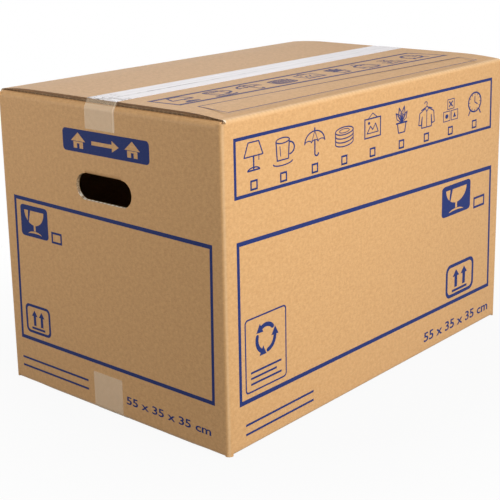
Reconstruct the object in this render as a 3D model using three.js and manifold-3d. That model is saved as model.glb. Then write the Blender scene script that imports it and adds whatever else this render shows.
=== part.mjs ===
// Moving box: a regular slotted carton folded from one sheet of double wall corrugated board,
// with a hand hole in each end, closed by one strip of packing tape along the top seam and one
// along the bottom seam. Millimetres, +Z up, length along X, origin on the floor under the middle.
import * as THREE from "three";
import { mergeVertices } from "three/addons/utils/BufferGeometryUtils.js";
import Module from "manifold-3d";

// Packing space, as printed on the box
const insideLength = 550;
const insideWidth = 350;
const insideHeight = 350;

// Board: three liners with a coarse fluting under the printed face and a fine one behind it
const liner = 0.4;
const medium = 0.3;
const coarseFluteHeight = 2.2;
const coarseFlutePitch = 6.5;
const fineFluteHeight = 1.1;
const fineFlutePitch = 3.25;
const board = 3 * liner + fineFluteHeight + coarseFluteHeight;

// Folds, slots and the lay of the flaps
const endFoldRadius = 7;
const sideFoldRadius = 5;
const uprightFoldRadius = 5.5;
const slotWidth = 7;
const layGap = 0.4;
const seamGap = 1.6;
const flapRise = 3.4;
const flapRiseLength = 60;
const cornerSetBack = 2;
const toeDrop = 3;
const toeGap = 0.4;

// Hand hole, with the punched piece turned in and up behind its top edge
const gripWidth = 90;
const gripHeight = 31;
const gripDrop = 80;
const gripTurnGap = 0.4;
const gripLift = 3.9;

// Glued joint of the sheet's two ends
const tabWidth = 35;
const tabTaper = 8;
const tabEndGap = 12;
const jointSetBack = 3;

// Packing tape
const tapeWidth = 48;
const tapeFilm = 0.2;
const tapeGlue = 0.1;
const topTapeDrop = 29;
const topTapeFarDrop = 38;
const topTapeShift = 1;
const bottomTapeRise = 46;
const bottomTapeFarRise = 43;
const bottomTapeShift = 7.5;
const toothPitch = 3;
const toothDepth = 0.9;

// How far the flutes are open behind a cut edge
const slitDepth = 3;
const fluteDepth = 2.5;

// Fineness of the curved outlines
const foldSteps = 6;
const riseSteps = 6;
const holeSteps = 10;
const coarseFluteSteps = 6;
const fineFluteSteps = 4;

// Overlap of sections that are joined, and the distance under which their points are one
const weld = 0.05;
const mergeDistance = 1e-4;

// Worked out from the sizes above
const halfLength = insideLength / 2 + board;
const halfWidth = insideWidth / 2 + board;
const floorLevel = tapeFilm + tapeGlue;
const minorLow = floorLevel + board + layGap;
const minorHigh = minorLow + 2 * board + insideHeight;
const majorHigh = minorHigh + layGap + board;
const sideLow = floorLevel + flapRise;
const sideHigh = majorHigh - flapRise;
const slotEdge = (board + slotWidth) / 2;
const flapDepth = halfWidth - seamGap / 2;
const toeLow = minorLow - toeDrop;
const toeRadius = slotEdge - toeGap;
const cornerLow = sideLow;
const cornerHigh = minorHigh - cornerSetBack;
const gripRadius = gripHeight / 2;
const gripReach = gripWidth / 2 - gripRadius;
const gripTop = minorHigh - gripDrop;
const gripMiddle = gripTop - gripRadius;
const turnRadius = board + gripTurnGap / 2;
const turnLevel = gripTop + gripLift;
const coarseLayer = liner;
const fineLayer = 2 * liner + coarseFluteHeight;

const wasm = await Module();
wasm.setup();

// Materials

const kraft = new THREE.MeshStandardMaterial({ color: 0xc69c6d, roughness: 0.88, metalness: 0 });
const film = new THREE.MeshStandardMaterial({
  color: 0xe9dfcf,
  roughness: 0.16,
  metalness: 0,
  transparent: true,
  opacity: 0.55,
});

// Solids and booleans

function solidOf(geometry) {
  const bare = geometry.clone();
  bare.deleteAttribute("normal");
  bare.deleteAttribute("uv");
  const merged = mergeVertices(bare, mergeDistance);
  return new wasm.Manifold(
    new wasm.Mesh({
      numProp: 3,
      vertProperties: merged.attributes.position.array,
      triVerts: new Uint32Array(merged.index.array),
    }),
  );
}

function geometryOf(solid) {
  const mesh = solid.getMesh();
  const geometry = new THREE.BufferGeometry();
  geometry.setAttribute("position", new THREE.BufferAttribute(mesh.vertProperties, 3));
  geometry.setIndex(new THREE.BufferAttribute(mesh.triVerts, 1));
  geometry.computeVertexNormals();
  return geometry;
}

function joined(geometries) {
  return geometries.map(solidOf).reduce((whole, piece) => whole.add(piece));
}

function cutBy(solid, geometries) {
  return geometries.length ? solid.subtract(joined(geometries)) : solid;
}

// Outlines drawn in a plane and pulled along an axis

const yzToWorld = new THREE.Matrix4().makeBasis(
  new THREE.Vector3(0, 1, 0),
  new THREE.Vector3(0, 0, 1),
  new THREE.Vector3(1, 0, 0),
);
const xzToWorld = new THREE.Matrix4().makeBasis(
  new THREE.Vector3(1, 0, 0),
  new THREE.Vector3(0, 0, 1),
  new THREE.Vector3(0, -1, 0),
);

function pull(shape, depth) {
  return new THREE.ExtrudeGeometry(shape, { depth, bevelEnabled: false, curveSegments: holeSteps });
}

// An outline in Y and Z, pulled between two values of X
function pullX(shape, low, high) {
  return pull(shape, high - low).applyMatrix4(yzToWorld).translate(low, 0, 0);
}

// An outline in X and Z, pulled between two values of Y
function pullY(shape, low, high) {
  return pull(shape, high - low).applyMatrix4(xzToWorld).translate(0, high, 0);
}

// An outline in X and Y, pulled between two values of Z
function pullZ(shape, low, high) {
  return pull(shape, high - low).translate(0, 0, low);
}

// The same solid at the opposite end or side of the box
function turned(solid) {
  return solidOf(geometryOf(solid).rotateZ(Math.PI));
}

function rectangle(lowA, lowB, highA, highB) {
  return new THREE.Shape([
    new THREE.Vector2(lowA, lowB),
    new THREE.Vector2(highA, lowB),
    new THREE.Vector2(highA, highB),
    new THREE.Vector2(lowA, highB),
  ]);
}

// Points along an arc, by its centre, radius and two angles in radians
function arc(centreA, centreB, radius, from, to) {
  return Array.from({ length: foldSteps + 1 }, (_, i) => {
    const angle = from + ((to - from) * i) / foldSteps;
    return new THREE.Vector2(
      centreA + radius * Math.cos(angle),
      centreB + radius * Math.sin(angle),
    );
  });
}

// The path moved to its right by a distance, with mitred corners
function offsetPath(path, distance) {
  return path.map((point, i) => {
    const before = path[Math.max(i - 1, 0)];
    const after = path[Math.min(i + 1, path.length - 1)];
    const come = (i > 0 ? point.clone().sub(before) : after.clone().sub(point)).normalize();
    const go = i < path.length - 1 ? after.clone().sub(point).normalize() : come.clone();
    const rightOfCome = new THREE.Vector2(come.y, -come.x);
    const rightOfGo = new THREE.Vector2(go.y, -go.x);
    const mitre = rightOfCome.clone().add(rightOfGo).normalize();
    return point.clone().addScaledVector(mitre, distance / mitre.dot(rightOfGo));
  });
}

// The section of a sheet that follows a path, between two depths to the path's right
function sheetShape(path, nearDepth, farDepth) {
  return new THREE.Shape([
    ...offsetPath(path, nearDepth),
    ...offsetPath(path, farDepth).reverse(),
  ]);
}

// Panels with their flaps

// Printed face of an end panel and its two minor flaps, in X and Z
function endFacePath() {
  const centre = endFoldRadius - halfLength;
  const flapTip = flapDepth - halfLength;
  return [
    new THREE.Vector2(flapTip, minorLow),
    ...arc(centre, minorLow + endFoldRadius, endFoldRadius, 1.5 * Math.PI, Math.PI),
    ...arc(centre, minorHigh - endFoldRadius, endFoldRadius, Math.PI, 0.5 * Math.PI),
    new THREE.Vector2(flapTip, minorHigh),
  ];
}

// The bottom crease bulges down in front of the major flaps' ends, in X and Z
function endToe() {
  const inner = toeRadius - halfLength;
  return new THREE.Shape([
    ...arc(inner, toeLow + toeRadius, toeRadius, 1.5 * Math.PI, Math.PI),
    new THREE.Vector2(-halfLength, minorLow + endFoldRadius),
    new THREE.Vector2(inner, minorLow + board / 2),
  ]);
}

function endPanel() {
  const reach = halfWidth - slotEdge;
  const outlines = [sheetShape(endFacePath(), 0, board), endToe()];
  return joined(outlines.map((outline) => pullY(outline, -reach, reach)));
}

// What the end panel at +X gives up beside the glued joint, which lies one board further in
function jointTrim() {
  const reach = halfWidth - slotEdge;
  const outline = rectangle(reach - board, 0, reach + weld, majorHigh);
  return pullX(outline, halfLength - flapDepth - weld, halfLength + weld);
}

// Height that a major flap has gained over its fold, at a distance in from the side's face
function riseAt(distance) {
  const share = THREE.MathUtils.clamp((distance - sideFoldRadius) / flapRiseLength, 0, 1);
  return flapRise * (1 - (1 - share) ** 2);
}

// Printed face of a side panel and its two major flaps, in Y and Z
function sideFacePath() {
  const climb = Math.atan((2 * flapRise) / flapRiseLength);
  const centre = sideFoldRadius - halfWidth;
  const lowRise = [];
  const highRise = [];
  for (let i = 1; i <= riseSteps; i++) {
    const distance = sideFoldRadius + (flapRiseLength * i) / riseSteps;
    lowRise.unshift(new THREE.Vector2(distance - halfWidth, sideLow - riseAt(distance)));
    highRise.push(new THREE.Vector2(distance - halfWidth, sideHigh + riseAt(distance)));
  }
  return [
    new THREE.Vector2(-seamGap / 2, floorLevel),
    ...lowRise,
    ...arc(centre, sideLow + sideFoldRadius, sideFoldRadius, 1.5 * Math.PI - climb, Math.PI),
    ...arc(centre, sideHigh - sideFoldRadius, sideFoldRadius, Math.PI, 0.5 * Math.PI + climb),
    ...highRise,
    new THREE.Vector2(-seamGap / 2, majorHigh),
  ];
}

// Inner face of the same sheet. It lies flat on the minor flaps, so that toward the folds,
// where the printed face dips, the board is pressed thin.
function sideInnerPath() {
  const inner = board - halfWidth;
  return [
    new THREE.Vector2(-seamGap / 2, majorHigh - board),
    new THREE.Vector2(inner, majorHigh - board),
    new THREE.Vector2(inner, floorLevel + board),
    new THREE.Vector2(-seamGap / 2, floorLevel + board),
  ];
}

function sidePanel() {
  const reach = halfLength - slotEdge;
  return pullX(new THREE.Shape([...sideFacePath(), ...sideInnerPath()]), -reach, reach);
}

// Slits between the liners at both ends of the major flaps, where the board is cut along its
// flutes. They close up toward the folds as the board does.
function flapEndSlits() {
  const reach = halfLength - slotEdge;
  const inner = majorHigh - board;
  const distances = Array.from(
    { length: riseSteps + 1 },
    (_, i) => sideFoldRadius + (flapRiseLength * i) / riseSteps,
  );
  distances.push(flapDepth + weld);
  const line = (depth) =>
    distances.map((distance) => {
      const face = sideHigh + riseAt(distance);
      return new THREE.Vector2(distance - halfWidth, face - (depth / board) * (face - inner));
    });
  const slits = [];
  const layers = [
    [coarseLayer, coarseFluteHeight],
    [fineLayer, fineFluteHeight],
  ];
  for (const [depth, height] of layers) {
    const outline = [...line(depth), ...line(depth + height).reverse()];
    for (const side of [-1, 1]) {
      for (const below of [false, true]) {
        const placed = outline.map(
          (point) =>
            new THREE.Vector2(side * point.x, below ? floorLevel + majorHigh - point.y : point.y),
        );
        const shape = new THREE.Shape(placed);
        slits.push(pullX(shape, -reach - weld, -reach + slitDepth));
        slits.push(pullX(shape, reach - slitDepth, reach + weld));
      }
    }
  }
  return slits;
}

// Corners

// The upright fold at -Y, at the -X end or mirrored to the +X end, from its printed face in plan
function corner(side) {
  const centreX = uprightFoldRadius - halfLength;
  const centreY = uprightFoldRadius - halfWidth;
  const reach = slotEdge + liner;
  const face = [
    new THREE.Vector2(reach - halfLength, -halfWidth),
    ...arc(centreX, centreY, uprightFoldRadius, 1.5 * Math.PI, Math.PI),
    new THREE.Vector2(-halfLength, reach - halfWidth),
  ];
  const plan = sheetShape(face, 0, board).getPoints();
  const placed = plan.map((point) => new THREE.Vector2(-side * point.x, point.y));
  return pullZ(new THREE.Shape(placed), cornerLow, cornerHigh);
}

// The glued joint at +X +Y: the end panel's edge turns in as a tab behind the side panel
function joint() {
  const faceY = halfWidth - board;
  const centreX = halfLength - uprightFoldRadius;
  const tabEnd = halfLength - board - tabWidth;
  const face = [
    new THREE.Vector2(tabEnd, faceY),
    ...arc(centreX, faceY - uprightFoldRadius, uprightFoldRadius, 0.5 * Math.PI, 0),
    new THREE.Vector2(halfLength, faceY - slotEdge - board - weld),
  ];
  const tab = solidOf(pullZ(sheetShape(face, 0, board), cornerLow, cornerHigh));
  const cornerX = halfLength - 2 * board;
  const trims = [
    [cornerLow, 1],
    [cornerHigh, -1],
  ].map(([edge, inward]) => {
    const outline = new THREE.Shape([
      new THREE.Vector2(cornerX, edge - inward * weld),
      new THREE.Vector2(cornerX, edge + inward * tabEndGap),
      new THREE.Vector2(tabEnd - weld, edge + inward * (tabEndGap + tabTaper)),
      new THREE.Vector2(tabEnd - weld, edge - inward * weld),
    ]);
    return pullY(outline, faceY - 2 * board, halfWidth);
  });
  return cutBy(tab, trims);
}

// The side panel's own cut edge, beside the glued joint
function jointEdge() {
  const from = halfLength - slotEdge - weld;
  const outline = rectangle(from, halfWidth - board - weld, halfLength - jointSetBack, halfWidth);
  return pullZ(outline, cornerLow, cornerHigh);
}

// Hand holes

// A slot with round ends, in Y and Z. Between them it runs up to where the board turns in.
function gripHole() {
  const shape = new THREE.Shape();
  shape.moveTo(-gripReach, turnLevel);
  shape.lineTo(-gripReach, gripTop);
  shape.absarc(-gripReach, gripMiddle, gripRadius, 0.5 * Math.PI, 1.5 * Math.PI, false);
  shape.absarc(gripReach, gripMiddle, gripRadius, 1.5 * Math.PI, 0.5 * Math.PI, false);
  shape.lineTo(gripReach, turnLevel);
  return pullX(shape, -halfLength - board, -halfLength + 2 * board);
}

// The space between a liner and one wave of the fluting, in plan, about a place along the board
function flutePocket(y, layer, height, pitch, steps, facesOut) {
  const half = pitch / 2 - medium;
  const base = facesOut ? layer : layer + height;
  const inward = facesOut ? 1 : -1;
  const points = [];
  for (let i = 0; i <= steps; i++) {
    const share = (2 * i) / steps - 1;
    const bulge = ((height - medium) * (1 + Math.cos(Math.PI * share))) / 2;
    points.push(new THREE.Vector2(base + inward * bulge - halfLength, y + half * share));
  }
  return new THREE.Shape(points);
}

// The upright flutes that the hole cuts open, below it and above its round ends
function gripFlutes() {
  const pockets = [];
  const layers = [
    [coarseLayer, coarseFluteHeight, coarseFlutePitch, coarseFluteSteps],
    [fineLayer, fineFluteHeight, fineFlutePitch, fineFluteSteps],
  ];
  for (const [layer, height, pitch, steps] of layers) {
    const last = Math.floor((gripWidth - pitch / 2) / pitch);
    for (let i = -last; i <= last; i++) {
      const y = (i * pitch) / 2;
      const pastRound = Math.max(Math.abs(y) - gripReach, 0);
      const opening = Math.sqrt(gripRadius ** 2 - pastRound ** 2);
      const low = gripMiddle - opening - fluteDepth;
      const high = pastRound > pitch / 2 ? gripMiddle + opening + fluteDepth : gripMiddle;
      const pocket = flutePocket(y, layer, height, pitch, steps, i % 2 === 0);
      pockets.push(pullZ(pocket, low, high));
    }
  }
  return pockets;
}

// The punched piece, turned in over the top of the hole and lying behind the panel
function turnedPiece() {
  const usedByTurn = Math.PI * (turnRadius - board / 2);
  const centre = turnLevel + gripLift + gripHeight - usedByTurn - gripRadius;
  const nearX = -halfLength + board + gripTurnGap;
  const outline = new THREE.Shape();
  outline.moveTo(gripReach, turnLevel - weld);
  outline.lineTo(gripReach, centre - gripRadius);
  outline.absarc(gripReach, centre, gripRadius, -0.5 * Math.PI, 0.5 * Math.PI, false);
  outline.absarc(-gripReach, centre, gripRadius, 0.5 * Math.PI, 1.5 * Math.PI, false);
  outline.lineTo(-gripReach, turnLevel - weld);
  return pullX(outline, nearX, nearX + board);
}

// The fold that carries it, round the lower edge of the board above the hole
function turnedFold() {
  const centreX = -halfLength + turnRadius;
  const face = [
    new THREE.Vector2(centreX + turnRadius, turnLevel + weld),
    ...arc(centreX, turnLevel, turnRadius, 2 * Math.PI, Math.PI),
    new THREE.Vector2(centreX - turnRadius, turnLevel + weld),
  ];
  return pullY(sheetShape(face, 0, board), -gripReach, gripReach);
}

// The sheet

function makeCarton() {
  const end = cutBy(endPanel(), [gripHole(), ...gripFlutes()])
    .add(solidOf(turnedFold()))
    .add(solidOf(turnedPiece()));
  const side = solidOf(sidePanel());
  const otherEnd = cutBy(turned(end), [jointTrim()]);
  const otherSide = turned(side);
  const sheet = end
    .add(otherEnd)
    .add(side)
    .add(otherSide)
    .add(solidOf(corner(-1)))
    .add(solidOf(corner(1)))
    .add(turned(solidOf(corner(1))))
    .add(joint())
    .add(solidOf(jointEdge()));
  return cutBy(sheet, flapEndSlits());
}

// Packing tape

// The tape's way over one end: off the flap's edge, across to the rounded fold and down the panel
function overTheEdge(edgeX, edgeZ, fold, drop, side) {
  const radius = fold.radius + tapeGlue;
  const centre = new THREE.Vector2(fold.radius - halfLength, fold.level - side * fold.radius);
  const edge = new THREE.Vector2(edgeX, edgeZ);
  const toEdge = edge.clone().sub(centre);
  const spread = Math.acos(Math.min(radius / toEdge.length(), 1));
  const towards = Math.atan2(side * toEdge.y, toEdge.x);
  const path = [edge];
  for (const point of arc(0, 0, radius, towards + spread, Math.PI)) {
    path.push(new THREE.Vector2(centre.x + point.x, centre.y + side * point.y));
  }
  path.push(new THREE.Vector2(-halfLength - tapeGlue, fold.level - side * drop));
  return path;
}

// What is cut off the end of a strip by the saw-toothed blade, between two values of X
function toothedWaste(low, endZ, side, lowX, highX) {
  const teeth = Math.round(tapeWidth / toothPitch);
  const pitch = tapeWidth / teeth;
  const points = [];
  for (let i = 0; i <= teeth; i++) {
    points.push(new THREE.Vector2(low + i * pitch, endZ + side * toothDepth));
    if (i < teeth) {
      points.push(new THREE.Vector2(low + (i + 0.5) * pitch, endZ));
    }
  }
  points[0].x -= weld;
  points[points.length - 1].x += weld;
  const outer = endZ - side;
  points.push(new THREE.Vector2(low + tapeWidth + weld, outer));
  points.push(new THREE.Vector2(low - weld, outer));
  const shape = new THREE.Shape(side > 0 ? points.reverse() : points);
  return pullX(shape, lowX, highX);
}

// A strip with saw-toothed ends, along the seam on one side of the box
function makeTape(side, levelZ, fold, nearDrop, farDrop, shift) {
  const edgeX = slotEdge - halfLength - tapeGlue;
  const near = overTheEdge(edgeX, levelZ, fold, nearDrop, side);
  const far = overTheEdge(edgeX, levelZ, fold, farDrop, side).map(
    (point) => new THREE.Vector2(-point.x, point.y),
  );
  const path = [...near.reverse(), ...far];
  const low = shift - tapeWidth / 2;
  const outline = sheetShape(path, 0, -side * tapeFilm);
  const strip = solidOf(pullY(outline, low, low + tapeWidth));
  const outside = halfLength + board;
  return cutBy(strip, [
    toothedWaste(low, fold.level - side * nearDrop, side, -outside, -halfLength + weld),
    toothedWaste(low, fold.level - side * farDrop, side, halfLength - weld, outside),
  ]);
}

function makeTopTape() {
  const level = majorHigh + tapeGlue;
  const fold = { level: minorHigh, radius: endFoldRadius };
  return makeTape(1, level, fold, topTapeDrop, topTapeFarDrop, topTapeShift);
}

function makeBottomTape() {
  const level = floorLevel - tapeGlue;
  const fold = { level: toeLow, radius: toeRadius };
  return makeTape(-1, level, fold, bottomTapeRise, bottomTapeFarRise, bottomTapeShift);
}

// The assembled part

const movingBox = new THREE.Group();

function place(name, solid, material) {
  const mesh = new THREE.Mesh(geometryOf(solid), material);
  mesh.name = name;
  movingBox.add(mesh);
}

place("carton", makeCarton(), kraft);
place("top_tape", makeTopTape(), film);
place("bottom_tape", makeBottomTape(), film);

export default movingBox;
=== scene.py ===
import math

import bmesh
import bpy
import numpy as np
from mathutils import Matrix, Vector
from mathutils.geometry import delaunay_2d_cdt


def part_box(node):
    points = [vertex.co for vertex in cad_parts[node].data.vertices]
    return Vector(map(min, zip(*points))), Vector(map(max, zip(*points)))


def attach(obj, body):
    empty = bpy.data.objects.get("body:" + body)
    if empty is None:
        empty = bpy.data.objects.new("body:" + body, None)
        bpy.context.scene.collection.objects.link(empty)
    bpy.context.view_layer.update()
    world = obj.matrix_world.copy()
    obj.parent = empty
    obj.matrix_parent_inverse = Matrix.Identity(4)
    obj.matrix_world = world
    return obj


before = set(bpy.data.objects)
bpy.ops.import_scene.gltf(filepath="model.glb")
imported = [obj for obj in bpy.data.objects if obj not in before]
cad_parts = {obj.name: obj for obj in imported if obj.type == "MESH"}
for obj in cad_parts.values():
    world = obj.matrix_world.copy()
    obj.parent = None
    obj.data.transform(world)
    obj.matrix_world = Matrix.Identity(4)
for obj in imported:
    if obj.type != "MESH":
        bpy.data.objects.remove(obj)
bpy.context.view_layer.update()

# Sizes read from the frame

MM = 0.001
_, carton_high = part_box("carton")
END_X = carton_high.x
SIDE_Y = carton_high.y
TOP_Z = carton_high.z
tape_low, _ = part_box("top_tape")
TAPE_EDGE = tape_low.y

# The board's thickness, the pitch of its coarse flutes and the pitch of its fine ones

BOARD = 4.5 * MM
FLUTE_PITCH = 6.5 * MM
CREST_PITCH = 3.25 * MM

# Where raw section shows at the flap ends: its reach along X, and the levels of its layers, with bands of
# painted shade in the flutes

FLAP_CUT = (END_X - 1.6 * BOARD, END_X - 1.03 * BOARD)
POCKET_REACH = (END_X - 2.2 * BOARD, END_X - 1.02 * BOARD)
POCKET_LEVELS = (TOP_Z - BOARD + 0.1 * MM, TOP_Z - 0.15 * MM)
UPPER_FLUTE_SHADE = (TOP_Z - 0.45 * BOARD, TOP_Z - 0.05 * BOARD)
LOWER_FLUTE_SHADE = (TOP_Z - 1.1 * BOARD, TOP_Z - 0.62 * BOARD)
FINE_LAYER = (TOP_Z - BOARD, TOP_Z - 0.6 * BOARD)

# The flap dips towards its fold, so the painted shade of the flutes keeps clear of the fold and of the
# sloping skin

FOLD_MARGIN = 5 * MM
SLOPE_MARGIN = 60 * MM
SKIN = 0.6 * MM

# The raw rim of the hand holes: half its width, its levels, its sill with its painted highlight, and its
# reach along X

HOLE_HALF = 48 * MM
HOLE_LOW = 249 * MM
HOLE_HIGH = 284 * MM
SILL_DEEP = 14 * MM
HOLE_RIM = (END_X - 0.95 * BOARD, END_X - 0.06 * BOARD)

# The nick in the liner at the near top corner

NICK = (-END_X + 5.6 * MM, -SIDE_Y + 3.0 * MM, TOP_Z - 4.4 * MM)
NICK_SIZE = 2.8 * MM

# How far from its edge a fold's band of washboard, wear and painted highlight is full, and how far it ends

SIDE_FOLD_BAND = (2 * MM, 8 * MM)
END_FOLD_BAND = (0.2 * MM, 2.2 * MM)
UPRIGHT_FOLD_BAND = (1 * MM, 3.5 * MM)

# The top tape: its creases by the near end, the seam under it (both with painted shade), the line along one
# edge and its levels

CREASE_START = -0.276
CREASE_FADE = (-0.262, -0.236)
SEAM = (-2.4 * MM, 1.2 * MM)
SEAM_FADE = (-0.28, -0.02)
EDGE_LINE = (TAPE_EDGE + 1.2 * MM, TAPE_EDGE + 3.0 * MM)
BRIDGE_LEVEL = TOP_Z - 0.3 * MM
SLIT_LEVELS = (TOP_Z - 1.2 * BOARD, TOP_Z)

# Ink, just thick enough to be seen clear of the board

INK = 0.04 * MM
INK_CLEAR = 0.03 * MM

# Camera, as the corners of the box in the 500 x 500 photograph give it

PHOTO_SIDE = 500
FOCAL_PIXELS = 1161.4
AXIS_PIXEL_ACROSS = 250.0
AXIS_PIXEL_DOWN = 185.0
SENSOR = 36.0
EYE = Vector((-1.1086, -0.9383, 0.5775))
LOOK_AZIMUTH = math.radians(-48.884)
LOOK_DOWN = math.radians(13.823)
ROLL = math.radians(-1.007)


def make_camera():
    """The camera that the photograph was taken with, as far as its box tells."""
    data = bpy.data.cameras.new("camera")
    data.sensor_width = SENSOR
    data.lens = FOCAL_PIXELS * SENSOR / PHOTO_SIDE
    data.shift_x = (PHOTO_SIDE / 2 - AXIS_PIXEL_ACROSS) / PHOTO_SIDE
    data.shift_y = (AXIS_PIXEL_DOWN - PHOTO_SIDE / 2) / PHOTO_SIDE
    data.clip_start = 0.05
    data.clip_end = 50.0
    camera = bpy.data.objects.new("camera", data)
    bpy.context.scene.collection.objects.link(camera)
    forward = Vector((
        -math.sin(LOOK_AZIMUTH) * math.cos(LOOK_DOWN),
        math.cos(LOOK_AZIMUTH) * math.cos(LOOK_DOWN),
        -math.sin(LOOK_DOWN),
    ))
    camera.rotation_mode = "QUATERNION"
    camera.rotation_quaternion = (
        forward.to_track_quat("-Z", "Y") @ Matrix.Rotation(ROLL, 3, "Z").to_quaternion()
    )
    camera.location = EYE
    bpy.context.scene.camera = camera


# Shader nodes

def new_material(name):
    """A material with its nodes, its links and its main shader."""
    material = bpy.data.materials.new(name)
    material.use_nodes = True
    nodes = material.node_tree.nodes
    links = material.node_tree.links
    return material, nodes, links, nodes["Principled BSDF"]


def object_coordinates(nodes, links, scale):
    """A point of the box in metres, scaled along each axis."""
    place = nodes.new("ShaderNodeTexCoord")
    mapping = nodes.new("ShaderNodeMapping")
    mapping.inputs["Scale"].default_value = scale
    links.new(place.outputs["Object"], mapping.inputs["Vector"])
    return mapping.outputs["Vector"]


def noise(nodes, links, vector, scale, detail, rough):
    texture = nodes.new("ShaderNodeTexNoise")
    texture.inputs["Scale"].default_value = scale
    texture.inputs["Detail"].default_value = detail
    texture.inputs["Roughness"].default_value = rough
    links.new(vector, texture.inputs["Vector"])
    return texture.outputs["Fac"]


def remap(nodes, links, value, from_low, from_high, to_low, to_high):
    """A value carried from one span to another, and held at its ends."""
    node = nodes.new("ShaderNodeMapRange")
    node.inputs["From Min"].default_value = from_low
    node.inputs["From Max"].default_value = from_high
    node.inputs["To Min"].default_value = to_low
    node.inputs["To Max"].default_value = to_high
    links.new(value, node.inputs["Value"])
    return node.outputs["Result"]


def mix_colour(nodes, links, factor, first, second):
    """The first colour going over to the second as the factor goes from 0 to 1."""
    node = nodes.new("ShaderNodeMix")
    node.data_type = "RGBA"
    for value, socket in ((factor, node.inputs[0]), (first, node.inputs[6]), (second, node.inputs[7])):
        if isinstance(value, tuple):
            socket.default_value = value
        else:
            links.new(value, socket)
    return node.outputs[2]


def calculate(nodes, links, operation, first, second=0.0):
    """One sum on numbers or sockets."""
    node = nodes.new("ShaderNodeMath")
    node.operation = operation
    for value, socket in ((first, node.inputs[0]), (second, node.inputs[1])):
        if isinstance(value, (float, int)):
            socket.default_value = value
        else:
            links.new(value, socket)
    return node.outputs[0]


def within(nodes, links, value, low, high):
    """1 where a value lies between two levels, else 0."""
    above = calculate(nodes, links, "GREATER_THAN", value, low)
    below = calculate(nodes, links, "LESS_THAN", value, high)
    return calculate(nodes, links, "MULTIPLY", above, below)


def split(nodes, links, output="Object"):
    """X, Y and Z of a point of the box, or of its normal."""
    place = nodes.new("ShaderNodeTexCoord")
    parts = nodes.new("ShaderNodeSeparateXYZ")
    links.new(place.outputs[output], parts.inputs[0])
    return parts.outputs[0], parts.outputs[1], parts.outputs[2]


def bump(nodes, links, height, strength, distance, under=None):
    node = nodes.new("ShaderNodeBump")
    node.inputs["Strength"].default_value = strength
    node.inputs["Distance"].default_value = distance
    links.new(height, node.inputs["Height"])
    if under is not None:
        links.new(under, node.inputs["Normal"])
    return node.outputs["Normal"]


def linear(red, green, blue):
    """A colour given as 0 to 255 on screen."""
    def channel(value):
        value /= 255
        return value / 12.92 if value <= 0.04045 else ((value + 0.055) / 1.055) ** 2.4

    return (channel(red), channel(green), channel(blue), 1.0)


# Colours of the board, its raw section, the ink and the film

KRAFT = linear(208, 162, 108)
KRAFT_DARK = linear(188, 142, 90)
KRAFT_LIGHT = linear(224, 181, 130)
# Pale fold colour: partly wear, partly a painted highlight on the folds
KRAFT_WEAR_AND_HIGHLIGHT = linear(244, 212, 168)
PULP = linear(234, 220, 198)
FLECK = linear(150, 112, 72)
CUT_LIGHT = linear(226, 196, 156)
CUT_MIDDLE = linear(168, 138, 104)
# Painted shade in the flutes of the section
CUT_SHADE = linear(96, 70, 46)
# Pale flute ends on the sill, lightened further as a painted highlight
SILL_PULP_AND_HIGHLIGHT = linear(255, 246, 228)
# Painted shade inside the flute pockets: deeper in the coarse layer, softer in the fine one
FLUTE_SOFT_SHADE = linear(180, 146, 108)
FLUTE_DEEP_SHADE = linear(160, 122, 84)
INK_BLUE = linear(30, 46, 102)
INK_THIN = linear(92, 88, 118)
# Film on top: milky, and whiter as a painted sheen
FILM_TOP_SHEEN = linear(255, 249, 253)
FILM_END = linear(255, 233, 200)
# Painted shade of the seam and the creases under the film
SEAM_AND_CREASE_SHADE = linear(128, 116, 108)

# How fine the noise of each mark is, on the board and its ink and then on the tape

CLOUD_SCALE = 240.0
GRAIN_SCALE = 1000.0
FIBRE_SCALE = 520.0
FLECK_SCALE = 380.0
RELIEF_SCALE = 700.0
WORN_SCALE = 650.0
LAYER_SCALE = 420.0
CREASE_SCALE = 130.0
SEAM_SCALE = 55.0
STREAK_SCALE = 170.0
RIPPLE_SCALE = 110.0

# How high the skin of the paper and the washboard stand, the ripples of the film and its creases

PAPER_RELIEF = 0.3 * MM
RIPPLE_RELIEF = 0.4 * MM
CREASE_RELIEF = 0.5 * MM

# How opaque the film is: rubbed down, along its edge, over the slit, and bridging air on top, where its
# milkiness is partly a painted sheen

RUBBED_ALPHA = (0.36, 0.40)
EDGE_ALPHA = 0.16
SLIT_ALPHA = 0.2
MILKY_SHEEN_ALPHA = (0.9, 0.78)


def fold_gap(nodes, links, first, first_end, second, second_end):
    """How far a point lies from the edge where two faces of the box meet."""
    first_gap = calculate(nodes, links, "SUBTRACT", first_end, calculate(nodes, links, "ABSOLUTE", first))
    second_gap = calculate(nodes, links, "SUBTRACT", second_end, calculate(nodes, links, "ABSOLUTE", second))
    return calculate(nodes, links, "MAXIMUM", first_gap, second_gap)


def fold_marks(nodes, links):
    """Nearness to the side folds, to the end folds and to the upright folds, each from 0 to 1."""
    x, y, z = split(nodes, links)
    sides = fold_gap(nodes, links, y, SIDE_Y, z, TOP_Z)
    ends = fold_gap(nodes, links, x, END_X, z, TOP_Z - BOARD)
    uprights = fold_gap(nodes, links, x, END_X, y, SIDE_Y)
    return (
        remap(nodes, links, sides, *SIDE_FOLD_BAND, 1.0, 0.0),
        remap(nodes, links, ends, *END_FOLD_BAND, 1.0, 0.0),
        remap(nodes, links, uprights, *UPRIGHT_FOLD_BAND, 1.0, 0.0),
    )


def washboard(nodes, links, along):
    """Waves of the flutes under the liner, from 0 to 1."""
    turns = calculate(nodes, links, "MULTIPLY", along, 2 * math.pi / FLUTE_PITCH)
    return remap(nodes, links, calculate(nodes, links, "SINE", turns), -1.0, 1.0, 0.0, 1.0)


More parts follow.
